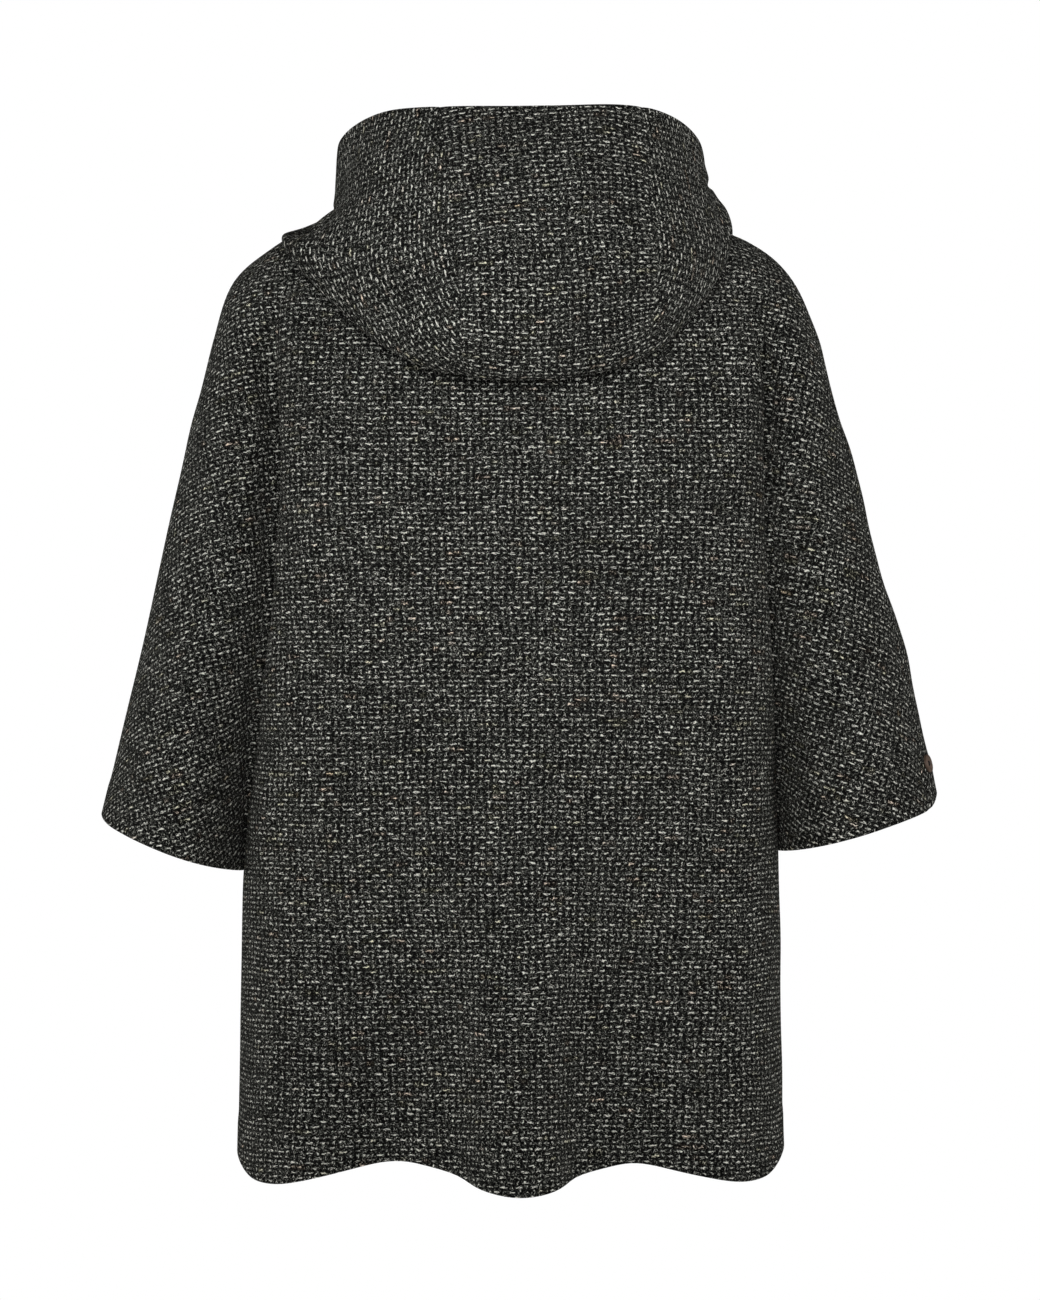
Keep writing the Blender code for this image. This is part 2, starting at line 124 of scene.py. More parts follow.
# Fibres lie along their yarn. They are a third of a millimetre wide, and are drawn three times as
# wide so that they show from where the camera stands.
along_weft = add(weave, "VectorMath", laid, (500, 1300, 0), operation="MULTIPLY")
along_weft = add(weave, "TexNoise", along_weft, None, 1.0, 2.0, noise_dimensions="2D")
along_warp = add(weave, "VectorMath", laid, (1300, 500, 0), operation="MULTIPLY")
along_warp = add(weave, "TexNoise", along_warp, None, 1.0, 2.0, noise_dimensions="2D")
fibre = add(weave, "Mix", warp_up, None, along_weft, along_warp)

# The marl: dark and light fibres mixed. The tone also follows the yarn's height: painted light
# where a float stands high, and painted shade down to near-black in the gaps between the yarns.
# Each float has its own share of light fibre, and so have longer stretches of the weft, its slubs.
stretch = add(weave, "VectorMath", crossing, (0.23, 7.31, 0), operation="MULTIPLY")
slub = add(weave, "TexNoise", stretch, None, 1.0, 1.0, noise_dimensions="2D")
flecks = slub.node.outputs["Color"]
light_fibre_and_painted_light = add(weave, "Math", chance, high, operation="MULTIPLY")
grey = add(weave, "Math", high, 0.46, -1.38, operation="MULTIPLY_ADD")
grey = add(weave, "Math", fibre, 2.8, grey, operation="MULTIPLY_ADD")
grey = add(weave, "Math", light_fibre_and_painted_light, 0.40, grey, operation="MULTIPLY_ADD")
grey = add(weave, "Math", slub, 0.24, grey, operation="MULTIPLY_ADD")
colour = add(weave, "ValToRGB", grey)
yarn_tones = (
    (0, "#020202"),
    (0.22, "#131312"),
    (0.45, "#333432"),
    (0.66, "#6c6d67"),
    (0.84, "#b6b6ad"),
    (1, "#f4f3ea"),
)
for place, tone in yarn_tones[1:-1]:
    colour.node.color_ramp.elements.new(place)
for point, (place, tone) in zip(colour.node.color_ramp.elements, yarn_tones):
    point.position = place
    point.color = linear(tone)

# Flecks: here and there a stretch of weft is spun with a little rust or straw
for channel, low, high_end, tint in (
    ("Green", 0.70, 0.78, (1.14, 0.97, 0.88)),
    ("Blue", 0.68, 0.76, (1.04, 1.01, 0.87)),
):
    spun = add(weave, "SeparateColor", flecks, output=channel)
    spun = add(weave, "MapRange", spun, low, high_end, 0.0, 1.0, interpolation_type="SMOOTHSTEP")
    tinted = add(weave, "VectorMath", colour, tint, operation="MULTIPLY")
    mixed = (spun, None, None, None, None, None, colour, tinted)
    colour = add(weave, "Mix", *mixed, data_type="RGBA", output=2)

# Dye and wear vary a little over a hand's breadth
patchy = add(weave, "TexNoise", cut, None, 14.0, 2.0, noise_dimensions="2D")
patchy = add(weave, "Math", patchy, 0.2, 0.9, operation="MULTIPLY_ADD")
colour = add(weave, "HueSaturation", 0.5, 1.0, patchy, 1.0, colour)
raised = add(weave, "Math", fibre, 0.5, high, operation="MULTIPLY_ADD")
rough = add(weave, "MapRange", fibre, 0.3, 0.7, 0.98, 0.84, interpolation_type="SMOOTHSTEP")
wool = weave.nodes["Principled BSDF"]
weave.links.new(colour, wool.inputs["Base Color"])
weave.links.new(rough, wool.inputs["Roughness"])
weave.links.new(add(weave, "Bump", 0.7, YARN_HEIGHT, None, raised), wool.inputs["Normal"])
wool.inputs["Specular IOR Level"].default_value = 0.06
wool.inputs["Sheen Weight"].default_value = 0.02
wool.inputs["Sheen Roughness"].default_value = 0.5
wool.inputs["Sheen Tint"].default_value = linear("#d8d6cc")

# The back: one piece of tweed, cut in one with the backs of both wide sleeves. It hangs from the
# neckline in rings, and from the shoulder blades down a fold on each side parts sleeve and
# body. The hem swings out in soft flutes, and hem and cuffs are turned in with no stitch showing.
THICKNESS = 0.0025
CUFF = 0.65
HEM = 1.0
GROOVE_BEARING = math.radians(58)
SLEEVE_VALLEY = {"right": 1.0, "left": 1.7}
# How far the corners of cuffs and hem are rounded up, over what width, and from where along
CUFF_CORNER, CUFF_CORNER_WIDTH, CUFF_CORNER_FROM = {"right": 0.009, "left": 0.004}, 0.014, 0.50
HEM_CORNER, HEM_CORNER_WIDTH, HEM_CORNER_FROM = {"right": 0.014, "left": 0.012}, 0.022, 0.80
# Each ring from neckline to hem: how far out and how low it lies at back, front and each arm
RINGS_COLUMNS = (
    "along back_out back_drop front_out front_drop right_out right_drop left_out left_drop"
)
RINGS = (
    (0.00, 0.068, 0.018, 0.070, 0.048, 0.088, 0.000, 0.088, 0.000),
    (0.07, 0.100, 0.062, 0.104, 0.090, 0.142, 0.018, 0.145, 0.018),
    (0.14, 0.118, 0.112, 0.126, 0.140, 0.191, 0.036, 0.197, 0.036),
    (0.20, 0.127, 0.160, 0.138, 0.188, 0.224, 0.066, 0.236, 0.066),
    (0.26, 0.131, 0.210, 0.145, 0.236, 0.247, 0.116, 0.254, 0.116),
    (0.32, 0.133, 0.262, 0.148, 0.284, 0.261, 0.166, 0.266, 0.166),
    (0.42, 0.136, 0.350, 0.150, 0.365, 0.284, 0.249, 0.286, 0.249),
    (0.53, 0.140, 0.447, 0.151, 0.455, 0.317, 0.368, 0.313, 0.370),
    (0.65, 0.144, 0.546, 0.152, 0.546, 0.346, 0.500, 0.346, 0.512),
    (0.80, 0.147, 0.655, 0.155, 0.655, 0.346, 0.500, 0.346, 0.512),
    (1.00, 0.150, 0.800, 0.160, 0.800, 0.346, 0.500, 0.346, 0.512),
)
# The sides of each ring: the body's half-width, how low the groove lies, how far back it is, the
# sleeve's half-depth, and how far sleeve and body are parted
SIDES_COLUMNS = (
    "along right_half left_half right_side_drop left_side_drop groove sleeve_depth parted"
)
SIDES = (
    (0.00, 0.100, 0.100, 0.010, 0.010, 0.070, 0.075, 0.00),
    (0.14, 0.165, 0.167, 0.075, 0.075, 0.072, 0.078, 0.00),
    (0.20, 0.188, 0.188, 0.112, 0.112, 0.070, 0.082, 0.30),
    (0.26, 0.196, 0.194, 0.163, 0.163, 0.065, 0.085, 0.72),
    (0.32, 0.198, 0.196, 0.213, 0.213, 0.067, 0.087, 1.00),
    (0.42, 0.201, 0.201, 0.307, 0.310, 0.066, 0.089, 1.00),
    (0.53, 0.207, 0.213, 0.415, 0.425, 0.054, 0.090, 1.00),
    (0.65, 0.213, 0.228, 0.539, 0.556, 0.004, 0.090, 1.00),
    (0.70, 0.214, 0.229, 0.575, 0.590, 0.00015, 0.090, 1.00),
    (1.00, 0.217, 0.233, 0.786, 0.790, 0.00015, 0.090, 1.00),
)
# Each flute: place across, half-width, reach out at the hem, and how much lower the hem hangs
BACK_FLUTES = (
    (-0.002, 0.047, 0.032, 0.004),
    (-0.094, 0.052, -0.030, -0.016),
    (0.086, 0.044, -0.028, -0.014),
    (-0.208, 0.040, 0.012, 0.010),
    (0.190, 0.036, 0.012, 0.010),
)
# Each crease: its two ends as place across and drop below the shoulder, how far it bows to the
# side, its half-width and its height, below nought for a trough
BACK_CREASES = (
    (-0.170, 0.100, -0.112, 0.215, 0.012, 0.013, -0.0030),
    (0.166, 0.092, 0.128, 0.190, -0.008, 0.012, -0.0024),
    (-0.168, 0.190, -0.140, 0.330, 0.010, 0.018, 0.0026),
    (0.004, 0.190, -0.010, 0.380, 0.008, 0.034, -0.0032),
    (0.090, 0.230, 0.135, 0.400, -0.014, 0.020, -0.0024),
    (-0.150, 0.420, -0.060, 0.560, 0.016, 0.017, -0.0022),
    (0.165, 0.440, 0.070, 0.600, -0.018, 0.018, -0.0026),
    (-0.165, 0.640, -0.176, 0.800, 0.004, 0.016, 0.0040),
    (0.138, 0.600, 0.150, 0.800, 0.004, 0.015, -0.0030),
    (-0.050, 0.600, -0.062, 1.000, 0.000, 0.018, -0.0092),
    (0.048, 0.560, 0.058, 1.000, 0.000, 0.016, -0.0100),
    (-0.250, 0.200, -0.300, 0.420, 0.008, 0.015, -0.0030),
    (-0.245, 0.330, -0.275, 0.520, -0.010, 0.012, 0.0030),
    (0.235, 0.180, 0.270, 0.330, 0.008, 0.014, -0.0026),
    (0.240, 0.330, 0.318, 0.455, 0.012, 0.014, -0.0034),
    (0.245, 0.420, 0.285, 0.535, -0.008, 0.013, 0.0030),
)
# Down each groove the cloth is pinched into a crease: its first and last place along the cape, its
# half-width and its depth
PINCHES = {"right": (0.14, 0.68, 0.0048, 0.0130), "left": (0.19, 0.66, 0.0120, 0.0050)}


def smooth(at, knots, values):
    """A cubic curve through the values at the knots, with the slopes of their neighbours."""
    at = np.clip(at, knots[0], knots[-1])
    slopes = np.gradient(values, knots, axis=0)
    i = np.clip(np.searchsorted(knots, at, side="right") - 1, 0, len(knots) - 2)
    span = knots[i + 1] - knots[i]
    s = (at - knots[i]) / span
    start = values[i] * (1 + 2 * s) + slopes[i] * span * s
    end = values[i + 1] * (3 - 2 * s) - slopes[i + 1] * span * (1 - s)
    return start * (1 - s) ** 2 + end * s**2


def read(columns, rows, name, at):
    """One column of a table as a smooth curve over the table's first column."""
    rows = np.array(rows, float)
    return smooth(at, rows[:, 0], rows[:, columns.split().index(name)])


def ease(share):
    """0 to 1 with soft ends."""
    share = np.clip(share, 0, 1)
    return share * share * (3 - 2 * share)


def squircle(share, squareness):
    """The quarter of a squared circle: across rises 0 to 1 while away falls 1 to 0."""
    across = np.sin(share * math.pi / 2)
    return across, np.maximum(1 - across**squareness, 0) ** (1 / squareness)


def corner(x, edge, width):
    """Rises as a square from 0 to 1 towards an edge, over a width before it."""
    return np.clip((x - edge) / width + 1, 0, 1) ** 2


def face_quarter(place, along, side, face, flutes):
    """A quarter of each ring, from the centre, 0, over the groove, 1, to the arm, 2.

    At the shoulder it is one squared quarter circle. Lower down it is parted into the body's
    squared quarter and the sleeve's half ellipse, which start together in the groove. Bell curves
    that grow towards the hem raise the flutes.
    """
    sign, facing = (1 if side == "right" else -1), (-1 if face == "back" else 1)
    out, drop, reach, arm_drop = (
        read(RINGS_COLUMNS, RINGS, name, along)
        for name in (face + "_out", face + "_drop", side + "_out", side + "_drop")
    )
    half, side_drop, groove, depth, parted = (
        read(SIDES_COLUMNS, SIDES, name, along)
        for name in (side + "_half", side + "_side_drop", "groove", "sleeve_depth", "parted")
    )
    groove = np.maximum(groove, 0.0)
    on_body, on_sleeve = np.clip(place, 0, 1), np.clip(place - 1, 0, 1)

    bearing = GROOVE_BEARING * on_body + (math.pi / 2 - GROOVE_BEARING) * on_sleeve
    across, away = squircle(bearing / (math.pi / 2), 2.2)
    dome = np.stack([reach * across, out * away, drop + (arm_drop - drop) * across**2], axis=-1)

    across, away = squircle(on_body, 2.6)
    grown = ease((along - 0.40) / 0.60) ** 1.2
    body_drop = drop + (side_drop - drop) * across**2
    for centre, half_width, flute_out, flute_lower in flutes:
        shape = np.exp(-(((sign * half * across - centre) / half_width) ** 2))
        out = out + grown * shape * flute_out
        body_drop = body_drop + grown**3 * shape * flute_lower
    near_hem = ease((along - HEM_CORNER_FROM) / (HEM - HEM_CORNER_FROM))
    rounded = corner(half * across, half, HEM_CORNER_WIDTH)
    body_drop = body_drop - HEM_CORNER[side] * near_hem * rounded
    body = np.stack([half * across, groove + (out - groove) * away, body_drop], axis=-1)

    start = np.arcsin(np.clip(groove / depth, 0, 1))
    turn = start + (math.pi - start) * on_sleeve
    x = reach - (reach - half) / (1 + np.cos(start)) * (1 + np.cos(turn))
    rise = np.clip((np.sin(turn) - np.sin(start)) / (1 - np.sin(start)), 0, 1)
    valley = groove + (depth - groove) * rise ** SLEEVE_VALLEY[side]
    y = np.where(turn < math.pi / 2, valley, depth * np.sin(turn))
    share = np.clip((x - half) / (reach - half), 0, 1) ** 1.25
    near_cuff = ease((along - CUFF_CORNER_FROM) / (CUFF - CUFF_CORNER_FROM))
    raised = CUFF_CORNER[side] * near_cuff * corner(x, reach, CUFF_CORNER_WIDTH)
    sleeve = np.stack([x, y, side_drop - raised + (arm_drop - side_drop) * share], axis=-1)

    lobed = np.where((place <= 1)[..., None], body, sleeve)
    return (dome + (lobed - dome) * np.clip(parted, 0, 1)[..., None]) * np.array([sign, facing, -1])


def seam_place(along, side):
    """Where the overarm seam lies on a half ring: at the arm's outer line or a little behind it."""
    behind = 0.20 if side == "right" else 0.03
    return 2 - behind * ease(along / 0.26)


def back_surface(stop, along):
    """The back, from its left seam, -2, over the centre, 0, to its right seam, 2."""
    halves = []
    for side in ("right", "left"):
        on_wing = 1 + (np.abs(stop) - 1) * (seam_place(along, side) - 1)
        place = np.where(np.abs(stop) > 1, on_wing, np.abs(stop))
        halves.append(face_quarter(place, along, side, "back", BACK_FLUTES))
    return np.where((stop >= 0)[..., None], *halves)


def crease_height(across, drop, creases):
    """Height of soft creases: a bell across each bowed line, and half a sine wave along it."""
    height = np.zeros_like(across)
    for x0, drop0, x1, drop1, bow, half_width, rise in creases:
        dx, dd = x1 - x0, drop1 - drop0
        length = math.hypot(dx, dd)
        t = np.clip(((across - x0) * dx + (drop - drop0) * dd) / length**2, 0, 1)
        beside = ((across - x0) * dd - (drop - drop0) * dx) / length - bow * np.sin(math.pi * t)
        height += rise * np.sin(math.pi * t) * np.exp(-((beside / half_width) ** 2))
    return height


def pinch(points, column, along, first, last, half_width, depth):
    """A crease down one column: a bell across it, and the root of half a sine wave along it."""
    across = from_edge(points, 1, False)
    beside = across - across[:, column : column + 1]
    t = np.clip((along - first) / (last - first), 0, 1)[:, None]
    return -depth * np.sqrt(np.sin(math.pi * t).clip(0)) * np.exp(-((beside / half_width) ** 2))


def clear_of_seams(stop):
    """1 on open cloth, falling softly to 0 at the groove and at the overarm seam."""
    stretch = np.abs(stop)
    return ease(np.abs(stretch - 1) / 0.12) * ease((2 - stretch) / 0.12)


def unevenness(across, drop, start):
    """How loose cloth waves by under a millimetre: six sine waves of their own lengths and ways."""
    height = np.zeros_like(across)
    for k in range(6):
        way, length = start + 2.4 * k, 0.045 + 0.019 * k
        phase = (across * math.cos(way) + drop * math.sin(way)) / length
        height += 0.00010 * (2 + k) * np.sin(2 * math.pi * phase + 1.9 * k + start)
    return height


def from_edge(points, axis, last):
    """Length along the grid's rows or columns from their first, or else their last, point."""
    steps = np.linalg.norm(np.diff(points, axis=axis), axis=-1)
    total = np.insert(np.cumsum(steps, axis=axis), 0, 0, axis=axis)
    return total.max(axis=axis, keepdims=True) - total if last else total


def seam_dip(distance):
    """A seam draws the cloth in: a bell 4 mm wide, less than a millimetre deep."""
    return -0.0009 * np.exp(-((distance / 0.004) ** 2))


def turned_edge(distance):
    """A turned-in edge is two layers thick for 28 mm, then falls back softly."""
    return 0.0007 * (1 - ease((distance - 0.022) / 0.012))


def sew(name, points, relief, ends, grain, number):
    """A piece of cloth: a grid of points moved out by a relief, made a thin shell of tweed.

    Points run row by row and face outwards, and each column ends at its own row. The cut is the
    grid unrolled with the least stretch, in metres. It is turned until the grain line, from one
    grid point to another, lies at its angle, and it carries the weave.
    """
    along_row, along_column = np.gradient(points, axis=1), np.gradient(points, axis=0)
    normals = np.cross(along_row, along_column)
    normals /= np.linalg.norm(normals, axis=-1, keepdims=True)
    points = points + normals * relief[..., None]

    rows, columns = points.shape[:2]
    index = np.arange(rows * columns).reshape(rows, columns)
    quads = np.stack([index[:-1, :-1], index[:-1, 1:], index[1:, 1:], index[1:, :-1]], axis=-1)
    kept = np.arange(1, rows)[:, None] <= np.minimum(ends[:-1], ends[1:])[None, :]
    used, faces = np.unique(quads[kept], return_inverse=True)
    faces = faces.reshape(-1, 4)
    mesh = bpy.data.meshes.new(name)
    mesh.from_pydata(points.reshape(-1, 3)[used].tolist(), [], faces.tolist())
    mesh.materials.append(tweed)
    mesh.shade_smooth()
    piece = bpy.data.objects.new(name, mesh)
    bpy.context.scene.collection.objects.link(piece)

    mesh.uv_layers.new(name="cut")
    bpy.context.view_layer.objects.active = piece
    bpy.ops.object.mode_set(mode="EDIT")
    bpy.ops.mesh.select_all(action="SELECT")
    bpy.ops.uv.unwrap(method="MINIMUM_STRETCH", margin=0)
    bpy.ops.object.mode_set(mode="OBJECT")
    flat = np.zeros(len(mesh.loops) * 2)
    mesh.uv_layers["cut"].uv.foreach_get("vector", flat)
    flat = flat.reshape(-1, 4, 2)
    cross = flat[:, 2:] - flat[:, :2]
    area = np.abs(np.sum(cross[:, 0, 0] * cross[:, 1, 1] - cross[:, 0, 1] * cross[:, 1, 0])) / 2
    real = np.zeros(len(mesh.polygons))
    mesh.polygons.foreach_get("area", real)
    (row0, column0), (row1, column1), angle = grain
    grain_ends = ((row0, column0), (row1, column1))
    top, bottom = (flat[faces == np.searchsorted(used, index[at])][0] for at in grain_ends)
    turn = math.radians(angle) - math.atan2(*(bottom - top)[::-1])
    turned = np.array([[math.cos(turn), math.sin(turn)], [-math.sin(turn), math.cos(turn)]])
    flat = (flat - top) @ turned * math.sqrt(real.sum() / area) + 0.731 * number
    mesh.uv_layers["cut"].uv.foreach_set("vector", flat.ravel())

    wall = piece.modifiers.new("wall", "SOLIDIFY")
    wall.thickness = THICKNESS
    wall.offset = -1
    edge = piece.modifiers.new("rounded_edges", "BEVEL")
    edge.limit_method = "ANGLE"
    edge.angle_limit = math.radians(60)
    edge.width = 0.0009
    edge.segments = 2
    return piece


along = np.concatenate([np.linspace(0, CUFF, 97), np.linspace(CUFF, HEM, 53)[1:]])
half_stops = np.concatenate([np.linspace(0, 1, 61), np.linspace(1, 2, 41)[1:]])
stops = np.concatenate([half_stops[::-1], -half_stops[1:]])
points = back_surface(*np.meshgrid(stops, along))
ends = np.where(np.abs(stops) > 1, 96, len(along) - 1)
to_hem = from_edge(points, 0, True)
to_cuff = from_edge(points[:97], 0, True)
to_cuff = np.concatenate([to_cuff, np.zeros((len(along) - 97, len(stops)))])
relief = crease_height(points[..., 0], -points[..., 2], BACK_CREASES)
relief += unevenness(points[..., 0], -points[..., 2], 0.4)
relief *= clear_of_seams(stops)
for side, column in (("right", 40), ("left", len(stops) - 41)):
    relief += pinch(points, column, along, *PINCHES[side])
relief += turned_edge(np.where(np.abs(stops) > 1, to_cuff, to_hem))
relief += seam_dip(from_edge(points, 1, False)) + seam_dip(from_edge(points, 1, True))
centre = len(stops) // 2
back = sew("back_cloth", points, relief, ends, ((40, centre), (140, centre), -90), 0)
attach(back, "root")
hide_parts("back")

# The fronts: two pieces of the same tweed, each cut in one with the front of its sleeve. They are
# sewn to the back over the arm and down the side, and they meet edge to edge at the centre front.
# The photograph doesn't show them, so they are plain, with flutes and creases like the back's.
# Flutes as on the back. The last two have no reach: they even the hem at the side seams.
FRONT_FLUTES = (
    (-0.075, 0.042, 0.024, 0.002),
    (0.085, 0.046, 0.026, 0.003),
    (0.004, 0.030, -0.010, -0.006),
    (-0.160, 0.032, -0.016, -0.006),
    (0.165, 0.030, -0.014, -0.006),
    (-0.208, 0.040, 0.000, 0.010),
    (0.190, 0.036, 0.000, 0.010),
)
FRONT_CREASES = (
    (0.150, 0.110, 0.100, 0.230, -0.010, 0.013, -0.0028),
    (-0.155, 0.105, -0.115, 0.215, 0.010, 0.012, -0.0026),
    (0.060, 0.250, 0.075, 0.430, 0.008, 0.020, 0.0026),
    (-0.070, 0.230, -0.050, 0.400, -0.008, 0.022, 0.0024),
    (0.160, 0.420, 0.105, 0.580, -0.014, 0.017, -0.0026),
    (-0.170, 0.450, -0.090, 0.600, 0.016, 0.016, -0.0026),
    (0.120, 0.620, 0.128, 0.800, 0.004, 0.014, -0.0028),
    (-0.120, 0.600, -0.126, 0.800, -0.004, 0.014, -0.0030),
    (0.245, 0.210, 0.290, 0.400, 0.010, 0.014, -0.0030),
    (0.250, 0.380, 0.300, 0.530, -0.008, 0.013, 0.0028),
    (-0.250, 0.220, -0.285, 0.390, -0.008, 0.014, -0.0028),
    (-0.245, 0.400, -0.310, 0.500, 0.010, 0.013, -0.0026),
)


def half_ring(place, along, side):
    """A half ring, from centre back, 0, over the arm, 2, to centre front, 4."""
    back = face_quarter(np.minimum(place, 2), along, side, "back", BACK_FLUTES)
    front = face_quarter(np.minimum(4 - place, 2), along, side, "front", FRONT_FLUTES)
    return np.where((place <= 2)[..., None], back, front)


def front_surface(stop, along, side):
    """One front, from the overarm seam, -2, over the groove, -1, to the centre front, 0."""
    on_wing = 3 + (stop + 1) * (3 - seam_place(along, side))
    return half_ring(np.where(stop < -1, on_wing, 4 + stop), along, side)


fronts = {}
for number, side in ((1, "right"), (2, "left")):
    stops = -half_stops if side == "right" else -half_stops[::-1]
    points = front_surface(*np.meshgrid(stops, along), side)
    ends = np.where(stops < -1, 96, len(along) - 1)
    to_hem = from_edge(points, 0, True)
    to_cuff = from_edge(points[:97], 0, True)
    to_cuff = np.concatenate([to_cuff, np.zeros((len(along) - 97, len(stops)))])
    at_centre = 0 if side == "right" else len(stops) - 1
    relief = crease_height(points[..., 0], -points[..., 2], FRONT_CREASES)
    relief += unevenness(points[..., 0], -points[..., 2], 1.3)
    relief *= clear_of_seams(stops)
    relief += turned_edge(np.where(stops < -1, to_cuff, to_hem))
    relief += turned_edge(from_edge(points, 1, side == "left"))
    relief += seam_dip(from_edge(points, 1, side == "right"))
    grain = ((40, at_centre), (140, at_centre), -90)
    front = sew(f"front_{side}_cloth", points, relief, ends, grain, number)
    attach(front, "root")
    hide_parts(f"front_{side}")
    fronts[side] = front

# The hood: a centre strip and two sides of the same tweed, sewn to each other and to the neckline.
# It lies on the back as a pouch. From the neck seam the cloth falls, turns up at the pouch's fold,
# swells out and stands up to a brim with a turned-in edge that goes round to the front.
HOOD_COLUMNS = (
    "bearing under_out under_drop fold_out fold_drop belly_out belly_drop"
    " waist_out waist_drop brim_out brim_drop"
)
HOOD = (
    (-180, 0.0725, 0.0450, 0.0755, 0.0435, 0.0770, 0.0410, 0.0775, 0.0385, 0.0765, 0.0360),
    (-155, 0.0810, 0.0355, 0.0930, 0.0395, 0.1010, 0.0345, 0.0990, 0.0250, 0.0940, 0.0190),
    (-125, 0.1040, 0.0185, 0.1270, 0.0260, 0.1390, 0.0160, 0.1300, 0.0040, 0.1220, -0.0040),
    (-90, 0.1290, 0.0040, 0.1490, 0.0155, 0.1570, 0.0145, 0.1545, 0.0080, 0.1500, -0.0180),
    (-78, 0.1460, 0.0090, 0.1720, 0.0270, 0.1820, 0.0270, 0.1585, 0.0170, 0.1530, -0.0280),
    (-66, 0.1610, 0.0290, 0.1920, 0.0530, 0.2100, 0.0390, 0.1670, 0.0240, 0.1590, -0.0400),
    (-42, 0.1530, 0.0920, 0.1770, 0.1250, 0.2030, 0.0720, 0.1840, 0.0000, 0.1640, -0.0570),
    (0, 0.1340, 0.1120, 0.1640, 0.1600, 0.2020, 0.1000, 0.1900, 0.0100, 0.1520, -0.0570),
    (42, 0.1530, 0.0920, 0.1770, 0.1260, 0.2030, 0.0720, 0.1840, 0.0000, 0.1640, -0.0570),
    (65, 0.1580, 0.0300, 0.1790, 0.0560, 0.1890, 0.0390, 0.1670, -0.0040, 0.1590, -0.0430),
    (78, 0.1430, 0.0090, 0.1650, 0.0220, 0.1750, 0.0170, 0.1600, -0.0080, 0.1540, -0.0310),
    (90, 0.1300, 0.0020, 0.1530, 0.0120, 0.1640, 0.0050, 0.1555, -0.0100, 0.1510, -0.0190),
    (125, 0.1040, 0.0185, 0.1270, 0.0260, 0.1390, 0.0160, 0.1300, 0.0040, 0.1220, -0.0040),
    (155, 0.0810, 0.0355, 0.0930, 0.0395, 0.1010, 0.0345, 0.0990, 0.0250, 0.0940, 0.0190),
    (180, 0.0725, 0.0450, 0.0755, 0.0435, 0.0770, 0.0410, 0.0775, 0.0385, 0.0765, 0.0360),
)
HOOD_KNOTS = np.array([0, 0.14, 0.28, 0.42, 0.60, 0.81, 1])
HOOD_SEAMS_COLUMNS = "height left right"
HOOD_SEAMS = (
    (0.00, -30, 36),
    (0.28, -21, 37),
    (0.42, -16, 35),
    (0.60, -14, 32),
    (0.81, -18, 34),
    (1.00, -24, 37),
)
NAPE_BOW = 0.085
HOOD_FRONT = 178.5
# How many degrees the sides reach past their seams with the strip, so that the seams are shut
SEAM_LAP = 0.3
# How much lower the brim lies beside the left seam, by which bearing, and how wide the dip is
BRIM_DIP, BRIM_DIP_BEARING, BRIM_DIP_WIDTH = 0.003, -27, 13
# Creases of the hood, with their ends as places round it and down from its brim
HOOD_REACH, HOOD_LENGTH = 0.18, 0.36
HOOD_CREASES = (
    (-0.160, 0.085, 0.120, 0.080, 0.006, 0.018, -0.0030),
    (-0.060, 0.130, -0.150, 0.190, 0.008, 0.012, -0.0026),
    (0.050, 0.150, 0.150, 0.180, -0.008, 0.014, -0.0024),
    (-0.020, 0.010, -0.006, 0.090, 0.004, 0.012, -0.0018),
    (0.070, 0.010, 0.050, 0.080, -0.004, 0.012, 0.0020),
    (-0.230, 0.060, -0.180, 0.150, -0.006, 0.010, -0.0028),
    (0.210, 0.070, 0.170, 0.160, 0.006, 0.011, -0.0026),
    (0.180, 0.068, 0.310, 0.066, 0.000, 0.009, -0.0028),
    (-0.310, 0.068, -0.185, 0.068, 0.000, 0.009, -0.0030),
)


def hood_section(values, height):
    """The smooth curve through a section's points, which differ from column to column."""
    values = np.array(values)
    slopes = np.gradient(values, HOOD_KNOTS, axis=0)
    i = np.clip(np.searchsorted(HOOD_KNOTS, height, side="right") - 1, 0, len(HOOD_KNOTS) - 2)
    span = HOOD_KNOTS[i + 1] - HOOD_KNOTS[i]
    s = (height - HOOD_KNOTS[i]) / span
    low, high, low_slope, high_slope = (
        np.take_along_axis(table, at[None], axis=0)[0]
        for table, at in ((values, i), (values, i + 1), (slopes, i), (slopes, i + 1))
    )
    start = low * (1 + 2 * s) + low_slope * span * s
    end = high * (3 - 2 * s) - high_slope * span * (1 - s)
    return start * (1 - s) ** 2 + end * s**2


def hood_surface(bearing, height):
    """The hood, by bearing from centre back in degrees and from neck seam, 0, to brim, 1.

    Each section runs from the neckline over a bowed nape through the five points of its table.
    """
    places = np.linspace(0, 4, 161)
    ring = half_ring(places, np.zeros_like(places), "right")
    bearings = np.degrees(np.arctan2(ring[:, 0], -ring[:, 1]))
    neck = half_ring(np.interp(np.abs(bearing), bearings, places), np.zeros_like(bearing), "right")
    neck_out, neck_drop = np.hypot(neck[..., 0], neck[..., 1]), -neck[..., 2]
    points = ("under", "fold", "belly", "waist", "brim")
    outs = [read(HOOD_COLUMNS, HOOD, point + "_out", bearing) for point in points]
    drops = [read(HOOD_COLUMNS, HOOD, point + "_drop", bearing) for point in points]
    nape_out = (neck_out + outs[0]) / 2 + NAPE_BOW * (drops[0] - neck_drop)
    nape_drop = (neck_drop + drops[0]) / 2 - NAPE_BOW * (outs[0] - neck_out)
    out = hood_section([neck_out, nape_out, *outs], height)
    drop = hood_section([neck_drop, nape_drop, *drops], height)
    turned = np.radians(bearing)
    return np.stack([out * np.sin(turned), -out * np.cos(turned), -drop], axis=-1)


